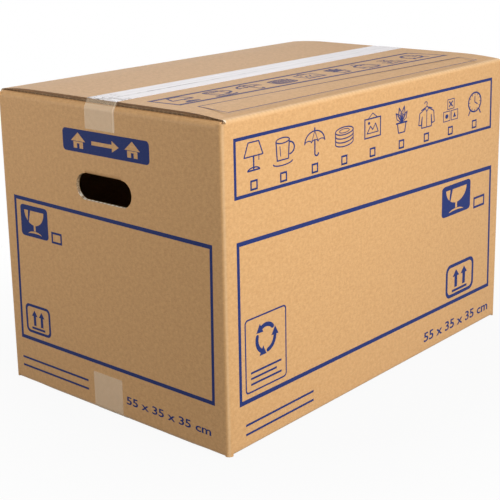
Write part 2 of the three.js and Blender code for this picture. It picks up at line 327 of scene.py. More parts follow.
def fold_relief(nodes, links):
    """Height of the washboard, which shows only where the board is bent."""
    x, y, _ = split(nodes, links)
    sides, ends, _ = fold_marks(nodes, links)
    side_waves = calculate(nodes, links, "MULTIPLY", washboard(nodes, links, x), sides)
    end_waves = calculate(nodes, links, "MULTIPLY", washboard(nodes, links, y), ends)
    return calculate(nodes, links, "MAXIMUM", side_waves, end_waves)


def board_colour(nodes, links):
    """Kraft liner: soft clouds of pulp, short fibres, a few faint flecks, paler where it is bent, from wear
    and a painted highlight that is strongest on the washboard crests.
    """
    even = object_coordinates(nodes, links, (1, 1, 1))
    upright = object_coordinates(nodes, links, (0.4, 0.4, 1.5))
    clouds = remap(nodes, links, noise(nodes, links, even, CLOUD_SCALE, 3.0, 0.6), 0.36, 0.62, 0.0, 0.75)
    fibres = remap(nodes, links, noise(nodes, links, upright, FIBRE_SCALE, 3.0, 0.7), 0.35, 0.7, 0.0, 0.4)
    grain = remap(nodes, links, noise(nodes, links, even, GRAIN_SCALE, 2.0, 0.6), 0.40, 0.60, 0.35, 0.0)
    flecks = remap(nodes, links, noise(nodes, links, even, FLECK_SCALE, 1.0, 0.5), 0.74, 0.80, 0.0, 0.35)
    tone = mix_colour(nodes, links, clouds, KRAFT, KRAFT_DARK)
    tone = mix_colour(nodes, links, fibres, tone, KRAFT_LIGHT)
    tone = mix_colour(nodes, links, grain, tone, KRAFT_DARK)
    tone = mix_colour(nodes, links, flecks, tone, FLECK)
    sides, ends, uprights = fold_marks(nodes, links)
    bent = calculate(nodes, links, "MAXIMUM", calculate(nodes, links, "MAXIMUM", sides, ends), uprights)
    # Stronger on the washboard crests: painted highlight
    crests = remap(nodes, links, fold_relief(nodes, links), 0.0, 1.0, 0.4, 0.85)
    return mix_colour(nodes, links, calculate(nodes, links, "MULTIPLY", bent, crests), tone, KRAFT_WEAR_AND_HIGHLIGHT)


def cut_mask(nodes, links):
    """1 where the raw section shows: on the ends of the outer flaps and on the rim of the hand holes."""
    x, y, z = split(nodes, links)
    along = calculate(nodes, links, "ABSOLUTE", x)
    facing = calculate(nodes, links, "ABSOLUTE", split(nodes, links, "Normal")[0])
    flap_end = within(nodes, links, along, *FLAP_CUT)
    turned = calculate(nodes, links, "GREATER_THAN", facing, 0.5)
    flap_end = calculate(nodes, links, "MULTIPLY", flap_end, turned)
    beside = calculate(nodes, links, "LESS_THAN", calculate(nodes, links, "ABSOLUTE", y), HOLE_HALF)
    level = within(nodes, links, z, HOLE_LOW, HOLE_HIGH)
    behind = within(nodes, links, along, *HOLE_RIM)
    rim = calculate(nodes, links, "MULTIPLY", calculate(nodes, links, "MULTIPLY", beside, level), behind)
    return calculate(nodes, links, "MAXIMUM", flap_end, rim)


def pocket_shade_mask(nodes, links):
    """1 inside the flutes that open at the flap ends, where their painted shade goes, and 0 on the skin of
    the flap above them.
    """
    x, y, z = split(nodes, links)
    along = calculate(nodes, links, "ABSOLUTE", x)
    deep = within(nodes, links, along, *POCKET_REACH)
    level = within(nodes, links, z, *POCKET_LEVELS)
    across = calculate(nodes, links, "ABSOLUTE", y)
    inner = calculate(nodes, links, "LESS_THAN", across, SIDE_Y - FOLD_MARGIN)
    flat_part = calculate(nodes, links, "LESS_THAN", across, SIDE_Y - SLOPE_MARGIN)
    under = calculate(nodes, links, "LESS_THAN", z, TOP_Z - SKIN)
    floor = calculate(nodes, links, "MULTIPLY", flat_part, under)
    hanging = calculate(nodes, links, "LESS_THAN", split(nodes, links, "Normal")[2], 0.5)
    seen = calculate(nodes, links, "MAXIMUM", floor, hanging)
    seen = calculate(nodes, links, "MULTIPLY", seen, inner)
    return calculate(nodes, links, "MULTIPLY", calculate(nodes, links, "MULTIPLY", deep, level), seen)


def section_colour_and_shade(nodes, links):
    """Raw section: painted shade under the printed liner, then its own pale colour, then painted shadow in
    dashes between the flutes; on the sill, pale flute ends with a painted highlight.
    """
    _, y, z = split(nodes, links)
    layers = noise(nodes, links, object_coordinates(nodes, links, (1, 0.4, 2)), LAYER_SCALE, 2.0, 0.6)
    pale = mix_colour(nodes, links, remap(nodes, links, layers, 0.4, 0.6, 0.0, 1.0), CUT_MIDDLE, CUT_LIGHT)
    upper = within(nodes, links, z, *UPPER_FLUTE_SHADE)
    colour = mix_colour(nodes, links, upper, pale, CUT_SHADE)
    lower = within(nodes, links, z, *LOWER_FLUTE_SHADE)
    waves = remap(nodes, links, washboard(nodes, links, y), 0.15, 0.5, 0.2, 1.0)
    colour = mix_colour(nodes, links, calculate(nodes, links, "MULTIPLY", lower, waves), colour, CUT_SHADE)
    sill = within(nodes, links, z, HOLE_LOW, HOLE_LOW + SILL_DEEP)
    return mix_colour(nodes, links, calculate(nodes, links, "MULTIPLY", sill, waves), colour, SILL_PULP_AND_HIGHLIGHT)


def nick_mask(nodes, links):
    """1 where the liner is scuffed through at the near top corner."""
    place = nodes.new("ShaderNodeTexCoord")
    distance = nodes.new("ShaderNodeVectorMath")
    distance.operation = "DISTANCE"
    distance.inputs[1].default_value = NICK
    links.new(place.outputs["Object"], distance.inputs[0])
    ragged = noise(nodes, links, object_coordinates(nodes, links, (1, 1, 1)), RELIEF_SCALE, 2.0, 0.6)
    reach = calculate(nodes, links, "MULTIPLY", ragged, NICK_SIZE)
    gap = calculate(nodes, links, "SUBTRACT", distance.outputs["Value"], reach)
    return remap(nodes, links, gap, 0.3 * MM, 1.6 * MM, 1.0, 0.0)


def skin_relief(nodes, links):
    """Height of the paper's skin."""
    return noise(nodes, links, object_coordinates(nodes, links, (1, 1, 1)), RELIEF_SCALE, 3.0, 0.6)


def make_kraft():
    """Board with its worn folds and their painted highlight, the nick, painted shade in the flutes at the
    flap ends, and the raw section with its painted shade and its sill's painted highlight.
    """
    material, nodes, links, shader = new_material("kraft_board")
    colour = mix_colour(nodes, links, nick_mask(nodes, links), board_colour(nodes, links), PULP)
    fine = within(nodes, links, split(nodes, links)[2], *FINE_LAYER)
    # Painted shade inside the open flutes
    flutes = mix_colour(nodes, links, fine, FLUTE_DEEP_SHADE, FLUTE_SOFT_SHADE)
    colour = mix_colour(nodes, links, pocket_shade_mask(nodes, links), colour, flutes)
    colour = mix_colour(nodes, links, cut_mask(nodes, links), colour, section_colour_and_shade(nodes, links))
    links.new(colour, shader.inputs["Base Color"])
    shader.inputs["Roughness"].default_value = 0.52
    shader.inputs["Specular IOR Level"].default_value = 0.35
    waves = bump(nodes, links, fold_relief(nodes, links), 0.4, PAPER_RELIEF)
    skin = bump(nodes, links, skin_relief(nodes, links), 0.3, PAPER_RELIEF, waves)
    links.new(skin, shader.inputs["Normal"])
    return material


def make_ink():
    """Water based blue, thin where the fibres stand up, and on the flap thin between the board's crests."""
    material, nodes, links, shader = new_material("blue_ink")
    patchy = noise(nodes, links, object_coordinates(nodes, links, (1, 1, 1)), WORN_SCALE, 3.0, 0.65)
    thin = remap(nodes, links, patchy, 0.55, 0.75, 0.0, 0.3)
    colour = mix_colour(nodes, links, thin, INK_BLUE, INK_THIN)
    x, _, z = split(nodes, links)
    waves = calculate(nodes, links, "SINE", calculate(nodes, links, "MULTIPLY", x, 2 * math.pi / CREST_PITCH))
    hollow = remap(nodes, links, waves, 0.2, 0.7, 0.0, 0.32)
    upper = calculate(nodes, links, "GREATER_THAN", z, TOP_Z)
    links.new(
        mix_colour(nodes, links, calculate(nodes, links, "MULTIPLY", hollow, upper), colour, KRAFT_DARK),
        shader.inputs["Base Color"],
    )
    shader.inputs["Roughness"].default_value = 0.6
    shader.inputs["Specular IOR Level"].default_value = 0.15
    skin = bump(nodes, links, skin_relief(nodes, links), 0.15, PAPER_RELIEF)
    links.new(skin, shader.inputs["Normal"])
    return material


def tape_creases(nodes, links):
    """Short creases across the top of the tape, beside its bend at the near end."""
    x = split(nodes, links)[0]
    drawn = noise(nodes, links, object_coordinates(nodes, links, (1, 0.3, 1)), CREASE_SCALE, 2.0, 0.5)
    ridge = calculate(nodes, links, "ABSOLUTE", calculate(nodes, links, "SUBTRACT", drawn, 0.5))
    ridge = remap(nodes, links, ridge, 0.0, 0.05, 1.0, 0.0)
    near = remap(nodes, links, x, *CREASE_FADE, 1.0, 0.0)
    top = calculate(nodes, links, "GREATER_THAN", x, CREASE_START)
    return calculate(nodes, links, "MULTIPLY", ridge, calculate(nodes, links, "MULTIPLY", near, top))


def film_colour(nodes, links, bridged):
    """Milky film, whiter on top as a painted sheen, with the seam and the creases showing through it on top
    as painted grey shade.
    """
    x, y, _ = split(nodes, links)
    seam = within(nodes, links, y, *SEAM)
    fading = remap(nodes, links, x, *SEAM_FADE, 0.9, 0.2)
    seam = calculate(nodes, links, "MULTIPLY", seam, fading)
    broken = noise(nodes, links, object_coordinates(nodes, links, (1, 0.3, 1)), SEAM_SCALE, 3.0, 0.6)
    seam = calculate(nodes, links, "MULTIPLY", seam, remap(nodes, links, broken, 0.38, 0.6, 0.15, 1.0))
    # Painted shade of the seam and the creases
    lines = calculate(nodes, links, "MAXIMUM", seam, tape_creases(nodes, links))
    film = mix_colour(nodes, links, bridged, FILM_END, FILM_TOP_SHEEN)
    return mix_colour(nodes, links, calculate(nodes, links, "MULTIPLY", lines, bridged), film, SEAM_AND_CREASE_SHADE)


def film_alpha(nodes, links, bridged):
    """Milky on top, where it bridges air and is partly a painted sheen, nearly clear over the slit and thin
    where it is rubbed down.
    """
    _, y, z = split(nodes, links)
    streaks = noise(nodes, links, object_coordinates(nodes, links, (0.02, 1, 1)), STREAK_SCALE, 4.0, 0.7)
    edge = within(nodes, links, y, *EDGE_LINE)
    rubbed = remap(nodes, links, streaks, 0.3, 0.7, *RUBBED_ALPHA)
    rubbed = calculate(nodes, links, "ADD", rubbed, calculate(nodes, links, "MULTIPLY", edge, EDGE_ALPHA))
    slit = within(nodes, links, z, *SLIT_LEVELS)
    thinned = calculate(nodes, links, "MULTIPLY", slit, SLIT_ALPHA)
    rubbed = calculate(nodes, links, "SUBTRACT", rubbed, thinned)
    milky = remap(nodes, links, streaks, 0.3, 0.7, *MILKY_SHEEN_ALPHA)
    blend = nodes.new("ShaderNodeMix")
    blend.data_type = "FLOAT"
    links.new(bridged, blend.inputs[0])
    links.new(rubbed, blend.inputs[2])
    links.new(milky, blend.inputs[3])
    return blend.outputs[0]


def make_tape():
    """Clear film with streaks along it, glossy on top and matt where it is rubbed down on the ends."""
    material, nodes, links, shader = new_material("packing_tape")
    z = split(nodes, links)[2]
    bridged = calculate(nodes, links, "GREATER_THAN", z, BRIDGE_LEVEL)
    links.new(film_colour(nodes, links, bridged), shader.inputs["Base Color"])
    links.new(film_alpha(nodes, links, bridged), shader.inputs["Alpha"])
    links.new(remap(nodes, links, bridged, 0.0, 1.0, 0.55, 0.2), shader.inputs["Roughness"])
    shader.inputs["Specular IOR Level"].default_value = 0.8
    ripples = noise(nodes, links, object_coordinates(nodes, links, (0.2, 1, 0.4)), RIPPLE_SCALE, 3.0, 0.5)
    under = bump(nodes, links, ripples, 0.15, RIPPLE_RELIEF)
    creases = calculate(nodes, links, "MULTIPLY", tape_creases(nodes, links), bridged)
    links.new(bump(nodes, links, creases, 0.6, CREASE_RELIEF, under), shader.inputs["Normal"])
    return material


# Artwork drawn flat, in millimetres: a list of steps, each laying ink (True) or baring the board (False)

def rectangle(low_x, low_y, high_x, high_y):
    return [(low_x, low_y), (high_x, low_y), (high_x, high_y), (low_x, high_y)]


def arc(centre, radius, start, end, steps):
    """Points of an arc; radius is a number or a pair, angles are in degrees."""
    across, up = radius if isinstance(radius, tuple) else (radius, radius)
    angles = [math.radians(start + (end - start) * i / steps) for i in range(steps + 1)]
    return [(centre[0] + across * math.cos(a), centre[1] + up * math.sin(a)) for a in angles]


def ellipse(centre, radius, steps):
    return arc(centre, radius, 0, 360, steps)[:-1]


def rounded(low_x, low_y, high_x, high_y, radius):
    return (
        arc((high_x - radius, high_y - radius), radius, 0, 90, 5)
        + arc((low_x + radius, high_y - radius), radius, 90, 180, 5)
        + arc((low_x + radius, low_y + radius), radius, 180, 270, 5)
        + arc((high_x - radius, low_y + radius), radius, 270, 360, 5)
    )


def line(points, width, closed=False):
    """Ink along a path, with round joints."""
    steps = []
    path = list(points) + ([points[0]] if closed else [])
    for (ax, ay), (bx, by) in zip(path, path[1:]):
        length = math.hypot(bx - ax, by - ay)
        if length < 1e-6:
            continue
        nx = -(by - ay) / length * width / 2
        ny = (bx - ax) / length * width / 2
        steps.append((True, [(ax + nx, ay + ny), (ax - nx, ay - ny), (bx - nx, by - ny), (bx + nx, by + ny)]))
    for point in path:
        steps.append((True, ellipse(point, width / 2, 8)))
    return steps


def ring(outer, inner):
    return [(True, outer), (False, inner)]


def outline_quad(corners, level, upright):
    """A frame given by its four outer corners, anticlockwise from the lower left."""
    (ax, ay), (bx, by), (cx, cy), (dx, dy) = corners
    inner = [
        (ax + upright, ay + level),
        (bx - upright, by + level),
        (cx - upright, cy - level),
        (dx + upright, dy - level),
    ]
    return ring(corners, inner)


def moved(steps, dx, dy, scale, stretch):
    return [(ink, [(x * scale * stretch + dx, y * scale + dy) for x, y in loop]) for ink, loop in steps]


# Handling marks

def glass_mark(low_x, low_y, high_x, high_y):
    """A cracked glass, left bare in a solid square."""
    width = high_x - low_x
    height = high_y - low_y
    bowl = arc((0.5, 0.84), (0.36, 0.46), 180, 360, 16)
    foot = arc((0.5, 0.08), (0.25, 0.11), 180, 0, 12)
    hollow = arc((0.5, 0.08), (0.25, 0.05), 180, 0, 12)
    unit = [
        (True, rounded(0, 0, 1, 1, 0.11)),
        (False, bowl),
        (True, [(0.29, 0.86), (0.37, 0.86), (0.29, 0.44), (0.25, 0.44)]),
        (False, rectangle(0.468, 0.20, 0.532, 0.385)),
        (False, foot),
        (True, hollow),
    ]
    return [(ink, [(low_x + x * width, low_y + y * height) for x, y in loop]) for ink, loop in unit]


def up_mark(low_x, low_y, high_x, high_y, weight):
    """Two arrows over a ground line, in an outlined square with well rounded corners."""
    width = high_x - low_x
    height = high_y - low_y
    radius = 0.15 * width
    steps = ring(
        rounded(low_x, low_y, high_x, high_y, radius),
        rounded(low_x + weight, low_y + weight, high_x - weight, high_y - weight, radius - 0.8 * weight),
    )
    shaft = 0.048 * width
    head = 0.115 * width
    for share in (0.36, 0.645):
        x = low_x + share * width
        steps.append((True, rectangle(x - shaft, low_y + 0.27 * height, x + shaft, low_y + 0.64 * height)))
        steps.append((True, [
            (x - head, low_y + 0.60 * height),
            (x + head, low_y + 0.60 * height),
            (x, low_y + 0.80 * height),
        ]))
    ground = rectangle(
        low_x + 0.23 * width,
        low_y + 0.145 * height,
        high_x - 0.24 * width,
        low_y + 0.22 * height,
    )
    steps.append((True, ground))
    return steps


def tick_box(low_x, low_y, high_x, high_y, weight):
    return ring(
        rectangle(low_x, low_y, high_x, high_y),
        rectangle(low_x + weight, low_y + weight, high_x - weight, high_y - weight),
    )


# Small pictures of household things, each about 40 wide and 50 high round its own middle

PEN = 1.55


def stroke(points, weight, closed=False):
    return line(points, PEN * weight, closed)


def lamp():
    shade = [(-9, 2), (-16, 2), (-9, 22), (9, 22), (16, 2), (-9, 2)]
    return (
        stroke(shade, 1.2)
        + stroke([(0, 2), (0, -16)], 1.6)
        + stroke(arc((0, -18), (10, 4), 0, 180, 8), 1.2)
        + stroke([(-10, -18), (10, -18)], 1.6)
        + stroke([(9, 2), (9, -5)], 0.8)
    )


def mug():
    return (
        stroke([(-13, 14), (-11, -14), (9, -14), (11, 14)], 1.3)
        + stroke(ellipse((-1, 14), (12, 4), 18), 1.2, closed=True)
        + stroke(arc((11, 1), (9, 9), -85, 85, 10), 1.5)
        + stroke([(-6, 6), (-5, -8)], 0.8)
        + stroke(arc((-1, -18), (17, 4), 180, 360, 12), 1.2)
    )


def plates():
    steps = []
    for i in range(4):
        steps += stroke(arc((0, -12 + 6 * i), (18, 6), 180, 360, 12), 1.2)
    steps += stroke(ellipse((0, 6), (18, 6), 24), 1.2, closed=True)
    steps += stroke(ellipse((0, 6), (10, 3), 18), 0.8, closed=True)
    steps += stroke([(-18, 6), (-18, -12)], 1.0)
    steps += stroke([(18, 6), (18, -12)], 1.0)
    return steps


def picture():
    steps = tick_box(-18, -16, 18, 16, 2.2)
    steps += stroke([(-12, -8), (-5, 3), (0, -3), (6, 6), (12, -8)], 1.1)
    steps += stroke([(-12, -8), (12, -8)], 1.0)
    steps += [(True, ellipse((-8, 8), 2.4, 12))]
    steps += stroke([(-9, 16), (0, 23), (9, 16)], 0.9)
    return steps


def plant():
    steps = stroke([(-10, -4), (-7, -20), (7, -20), (10, -4)], 1.3)
    steps += stroke([(-12, -4), (12, -4)], 1.8)
    for tilt, reach in ((-38, 22), (-14, 26), (12, 27), (36, 21)):
        a = math.radians(90 - tilt)
        tip = (reach * math.cos(a), -4 + reach * math.sin(a))
        side = 4.5
        left = (tip[0] * 0.55 - side * math.sin(a), -4 + (tip[1] + 4) * 0.55 + side * math.cos(a))
        right = (tip[0] * 0.55 + side * math.sin(a), -4 + (tip[1] + 4) * 0.55 - side * math.cos(a))
        steps += stroke([(0, -4), left, tip, right], 1.0, closed=True)
        steps += stroke([(0, -4), tip], 0.6)
    return steps


def coat():
    steps = stroke([(-4, 10), (-17, 3), (-19, -16), (-13, -17), (-11, -3)], 1.2)
    steps += stroke([(4, 10), (17, 3), (19, -16), (13, -17), (11, -3)], 1.2)
    steps += stroke([(-11, -3), (-12, -22), (12, -22), (11, -3)], 1.2)
    steps += stroke([(-4, 10), (0, 4), (4, 10)], 1.0)
    steps += stroke([(0, 4), (0, -22)], 0.9)
    steps += stroke([(0, 12), (0, 15)] + arc((-2.5, 18), 3, -40, 180, 8), 1.1)
    steps += stroke([(-13, 8), (0, 12.5), (13, 8)], 1.1)
    return steps


def blocks():
    steps = []
    for x, y in ((-10, -13), (10, -13), (0, 7)):
        steps += tick_box(x - 9, y - 9, x + 9, y + 9, 1.4)
    steps += [(True, ellipse((-10, -13), 4, 14))]
    steps += [(True, [(6, -17), (14, -17), (10, -8.5)])]
    steps += stroke([(-4, 3), (4, 11)], 1.6)
    steps += stroke([(-4, 11), (4, 3)], 1.6)
    return steps


def clock():
    steps = stroke(ellipse((0, 0), 17, 28), 1.8, closed=True)
    for i in range(12):
        a = math.radians(30 * i)
        steps += stroke([(13 * math.cos(a), 13 * math.sin(a)), (14.6 * math.cos(a), 14.6 * math.sin(a))], 0.9)
    steps += stroke([(0, 0), (0, 10)], 1.3)
    steps += stroke([(0, 0), (7, -4)], 1.3)
    steps += stroke([(-12, -14), (-16, -21)], 1.6)
    steps += stroke([(12, -14), (16, -21)], 1.6)
    return steps


def umbrella():
    canopy = arc((0, 0), (19, 17), 0, 180, 14)
    steps = stroke(canopy, 1.3)
    for x in (-12.7, 0, 12.7):
        steps += stroke(arc((x, 0), (6.3, 3.5), 0, 180, 6), 1.0)
    steps += stroke([(0, 3), (0, -16)] + arc((3.5, -17), (3.5, 4), 180, 350, 8), 1.5)
    steps += stroke([(0, 17), (0, 21)], 1.5)
    steps += stroke([(0, 17), (-6.3, 0)], 0.7)
    steps += stroke([(0, 17), (6.3, 0)], 0.7)
    return steps


PICTURES = (lamp, mug, umbrella, plates, picture, plant, coat, blocks, clock)


# From flat artwork to thin ink on a panel

def covers(loop, points):
    """Which of the points lie inside the loop."""
    inside = np.zeros(len(points), bool)
    x = points[:, 0]
    y = points[:, 1]
    for (ax, ay), (bx, by) in zip(loop, loop[1:] + loop[:1]):
        if ay == by:
            continue
        crosses = ((ay > y) != (by > y)) & (x < (bx - ax) * (y - ay) / (by - ay) + ax)
        inside ^= crosses
    return inside


def inked_triangles(steps):
    """The artwork's corners and triangles, after all steps have been laid over each other."""
    corners = []
    edges = []
    for _, loop in steps:
        first = len(corners)
        corners += [Vector(point) for point in loop]
        edges += [(first + i, first + (i + 1) % len(loop)) for i in range(len(loop))]
    found = delaunay_2d_cdt(corners, edges, [], 0, 1e-4, False)
    verts = np.array([tuple(v) for v in found[0]])
    faces = np.array([tuple(f) for f in found[2]])
    middles = verts[faces].mean(axis=1)
    inked = np.zeros(len(faces), bool)
    for ink, loop in steps:
        low = np.min(loop, axis=0)
        high = np.max(loop, axis=0)
        near = np.flatnonzero(np.all((middles >= low) & (middles <= high), axis=1))
        inked[near[covers(loop, middles[near])]] = ink
    return verts, faces[inked]


def print_on(name, steps, to_panel, material):
    """Ink on a board face. to_panel carries flat millimetres and a lift to the model's frame."""
    verts, faces = inked_triangles(steps)
    used = sorted(set(faces.ravel().tolist()))
    number = {old: new for new, old in enumerate(used)}
    mesh = bpy.data.meshes.new(name)
    flat = bmesh.new()
    made = [flat.verts.new((verts[i][0], verts[i][1], 0)) for i in used]
    for face in faces:
        flat.faces.new([made[number[int(i)]] for i in face])
    bmesh.ops.dissolve_limit(flat, angle_limit=0.001, verts=flat.verts, edges=flat.edges)
    bmesh.ops.triangulate(flat, faces=flat.faces)
    lifted = bmesh.ops.extrude_face_region(flat, geom=flat.faces[:])
    for item in lifted["geom"]:
        if isinstance(item, bmesh.types.BMVert):
            item.co.z = 1.0
    for vert in flat.verts:
        vert.co = to_panel(vert.co.x * MM, vert.co.y * MM, INK_CLEAR + vert.co.z * INK)
    bmesh.ops.recalc_face_normals(flat, faces=flat.faces)
    flat.to_mesh(mesh)
    flat.free()
    mesh.materials.append(material)
    piece = bpy.data.objects.new(name, mesh)
    bpy.context.scene.collection.objects.link(piece)
    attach(piece, "root")


def lettering(text, cap_height, width, centre):
    """Plain numerals as artwork loops, centred on a point, from the built-in font."""
    curve = bpy.data.curves.new("numerals", "FONT")
    curve.body = text
    curve.align_x = "CENTER"
    curve.resolution_u = 3
    curve.offset = 0.018
    holder = bpy.data.objects.new("numerals", curve)
    bpy.context.scene.collection.objects.link(holder)
    bpy.context.view_layer.update()
    mesh = bpy.data.meshes.new_from_object(holder.evaluated_get(bpy.context.evaluated_depsgraph_get()))
    bpy.data.objects.remove(holder)
    points = np.array([tuple(v.co)[:2] for v in mesh.vertices])
    low = points.min(axis=0)
    high = points.max(axis=0)
    middle = (low + high) / 2
    steps = []
    for face in mesh.polygons:
        loop = []
        for i in face.vertices:
            x, y = points[i] - middle
            loop.append((
                centre[0] + x * width / (high[0] - low[0]),
                centre[1] + y * cap_height / (high[1] - low[1]),
            ))
        steps.append((True, loop))
    bpy.data.meshes.remove(mesh)
    return steps


# Panel maps: u runs to the right and v up as the panel is seen from outside

def front_end(u, v, lift):
    return (-END_X - lift, -u, v)


def back_end(u, v, lift):
    return (END_X + lift, u, v)


def near_side(u, v, lift):
    return (u, -SIDE_Y - lift, v)


def far_side(u, v, lift):
    return (-u, SIDE_Y + lift, v)


def top_face(u, v, lift):
    return (u, v, TOP_Z + lift)


# The packing space, and how much further from the middle it stands on the back end, clear of the tape

SIZE_TEXT = "55 x 35 x 35 cm"
BACK_TEXT_SHIFT = 10


def end_artwork(text_shift):
    """The print of an end panel, in millimetres from its middle and from the floor."""
    steps = outline_quad([(-163, 58), (160, 58), (162, 235.5), (-160, 240)], level=4.6, upright=3.8)
    steps += glass_mark(-149.5, 192, -100, 230.5)
    steps += tick_box(-94.5, 191, -76, 205, weight=2.6)
    steps += up_mark(-152, 68.5, -106, 105.5, weight=3.4)
    steps += house_plate()
    steps += note_lines(-163, 22, -42, 34)
    steps += lettering(SIZE_TEXT, cap_height=9.8, width=131, centre=(88 + text_shift, 26))
    return steps


def house_plate():
    """A solid plate with two houses and the way between them left bare."""
    low_x, low_y, high_x, high_y = -64, 307, 75, 333
    middle = (low_y + high_y) / 2
    steps = [(True, rounded(low_x, low_y, high_x, high_y, 5))]
    for x in (-38, 49):
        steps += [(False, [(x - 12, middle - 0.5), (x + 12, middle - 0.5), (x, middle + 9.5)])]
        steps += [(False, rectangle(x - 8, middle - 8.5, x + 8, middle - 1))]
        steps += [(True, rectangle(x - 2, middle - 8.5, x + 2, middle - 3))]
    steps += [(False, rectangle(-16, middle - 2.2, 19, middle + 2.2))]
    steps += [(False, [(17, middle - 6.5), (28, middle), (17, middle + 6.5)])]
    return steps


def note_lines(low_x, low_y, high_x, high_y):
    """Two ruled lines to write on."""
    return [
        (True, rectangle(low_x, high_y - 2.6, high_x, high_y)),
        (True, rectangle(low_x, low_y - 1.3, high_x, low_y + 1.3)),
    ]


def recycle_label(low_x, low_y, high_x, high_y):
    """An outlined label with the three-arrow loop over ruled bars."""
    steps = ring(
        rounded(low_x, low_y, high_x, high_y, 5),
        rounded(low_x + 1.9, low_y + 1.9, high_x - 1.9, high_y - 1.9, 3.4),
    )
    centre = ((low_x + high_x) / 2, low_y + (high_y - low_y) * 0.66)
    radius = 15
    for turn in (90, 210, 330):
        arrow = line(arc(centre, radius, turn - 48, turn + 28, 8), 5)
        tip = math.radians(turn + 28)
        away = (centre[0] + radius * math.cos(tip), centre[1] + radius * math.sin(tip))
        along = (-math.sin(tip), math.cos(tip))
        out = (math.cos(tip), math.sin(tip))
        arrow.append((True, [
            (away[0] + 6 * out[0], away[1] + 6 * out[1]),
            (away[0] + 10 * along[0], away[1] + 10 * along[1]),
            (away[0] - 6 * out[0], away[1] - 6 * out[1]),
        ]))
        steps += arrow
    for i in range(3):
        level = low_y + 8 + 6.5 * i
        steps.append((True, rectangle(low_x + 9, level, high_x - 9 - 8 * (i % 2), level + 2.4)))
    return steps


# Middles of the nine tick boxes on the long panel, from its left, and the drop of their row to the right

TICK_PLACES = (-233, -185, -131, -77, -22, 38, 93, 149, 208)
TICK_LEVEL = 292.4
TICK_DROP = 4.8 / 441
TICK_WIDE = 12.5
TICK_HIGH = 12
TICK_WEIGHT = 3.1

# Each picture stands above its box, and is drawn smaller and wider than in its own square

PICTURE_RISE = 29
PICTURE_SCALE = 0.74
PICTURE_STRETCH = 1.25


def side_artwork():
    """The print of a long panel, in millimetres from its middle and from the floor."""
    upper = [(-263.8, 281.6), (252.2, 275.3), (251.1, 343.4), (-263.7, 345.6)]
    lower = [(-262, 55.4), (259.3, 51.1), (256.4, 223.6), (-261.8, 236.6)]
    steps = outline_quad(upper, level=3.7, upright=3.7)
    steps += outline_quad(lower, level=5.0, upright=4.2)
    steps += glass_mark(133, 175, 203, 216)
    steps += tick_box(212, 172, 240.5, 187.4, weight=3.0)
    steps += up_mark(147, 61, 217, 107, weight=4.6)
    steps += recycle_label(-252, 65.5, -183, 149.5)
    steps += note_lines(-252.5, 20, -135, 32)
    steps += lettering(SIZE_TEXT, cap_height=13, width=162, centre=(177.5, 24))
    for place, draw in zip(TICK_PLACES, PICTURES):
        rise = PICTURE_RISE - TICK_DROP * (place - TICK_PLACES[0])
        steps += moved(draw(), place, TICK_LEVEL + rise, PICTURE_SCALE, PICTURE_STRETCH)
    return steps


# The flap's pictures: the first one's place, the way to the last one, their scale and their heavier ink

FLAP_FIRST = (-222, -72)
FLAP_WAY = (424, -13)
FLAP_SCALE = 0.78
FLAP_SPREAD = 0.9


def top_artwork():
    """The print of the near top flap, in millimetres from the middle of the top."""
    bold = [(-250.5, -94.4), (244, -116.4), (231.5, -57), (-254.6, -48.1)]
    thin = [(-253.3, -164.5), (224, -172.7), (235.7, -138.5), (-245, -113.4)]
    steps = outline_quad(bold, level=5.2, upright=3.4)
    steps += outline_quad(thin, level=1.8, upright=1.5)
    last = len(PICTURES) - 1
    for i, draw in enumerate(PICTURES):
        x = FLAP_FIRST[0] + FLAP_WAY[0] * i / last
        y = FLAP_FIRST[1] + FLAP_WAY[1] * i / last
        for shift in (-FLAP_SPREAD, FLAP_SPREAD):
            steps += moved(draw(), x, y + shift, FLAP_SCALE, PICTURE_STRETCH)
    return steps


# A row of tick boxes, one on each point of a strip of points

def tick_row_tree():
    """Each box is a flat bar swept round a rectangle."""
    tree = bpy.data.node_groups.new("tick_row", "GeometryNodeTree")
    panel = tree.interface
    panel.new_socket("Points", in_out="INPUT", socket_type="NodeSocketGeometry")
    for name in ("Box Width", "Box Height", "Line Weight", "Ink Thickness"):
        panel.new_socket(name, in_out="INPUT", socket_type="NodeSocketFloat")
    panel.new_socket("Ink", in_out="INPUT", socket_type="NodeSocketMaterial")
    panel.new_socket("Boxes", in_out="OUTPUT", socket_type="NodeSocketGeometry")
    nodes = tree.nodes
    links = tree.links
    given = nodes.new("NodeGroupInput").outputs
    outline = nodes.new("GeometryNodeCurvePrimitiveQuadrilateral")
    links.new(given["Box Width"], outline.inputs["Width"])
    links.new(given["Box Height"], outline.inputs["Height"])
    section = nodes.new("GeometryNodeCurvePrimitiveQuadrilateral")
    links.new(given["Line Weight"], section.inputs["Width"])
    links.new(given["Ink Thickness"], section.inputs["Height"])
    bar = nodes.new("GeometryNodeCurveToMesh")
    links.new(outline.outputs["Curve"], bar.inputs["Curve"])
    links.new(section.outputs["Curve"], bar.inputs["Profile Curve"])
    copies = nodes.new("GeometryNodeInstanceOnPoints")
    links.new(given["Points"], copies.inputs["Points"])
    links.new(bar.outputs["Mesh"], copies.inputs["Instance"])
    real = nodes.new("GeometryNodeRealizeInstances")
    links.new(copies.outputs["Instances"], real.inputs["Geometry"])
    inked = nodes.new("GeometryNodeSetMaterial")
    links.new(real.outputs["Geometry"], inked.inputs["Geometry"])
    links.new(given["Ink"], inked.inputs["Material"])
    out = nodes.new("NodeGroupOutput")
    links.new(inked.outputs["Geometry"], out.inputs["Boxes"])
    return tree


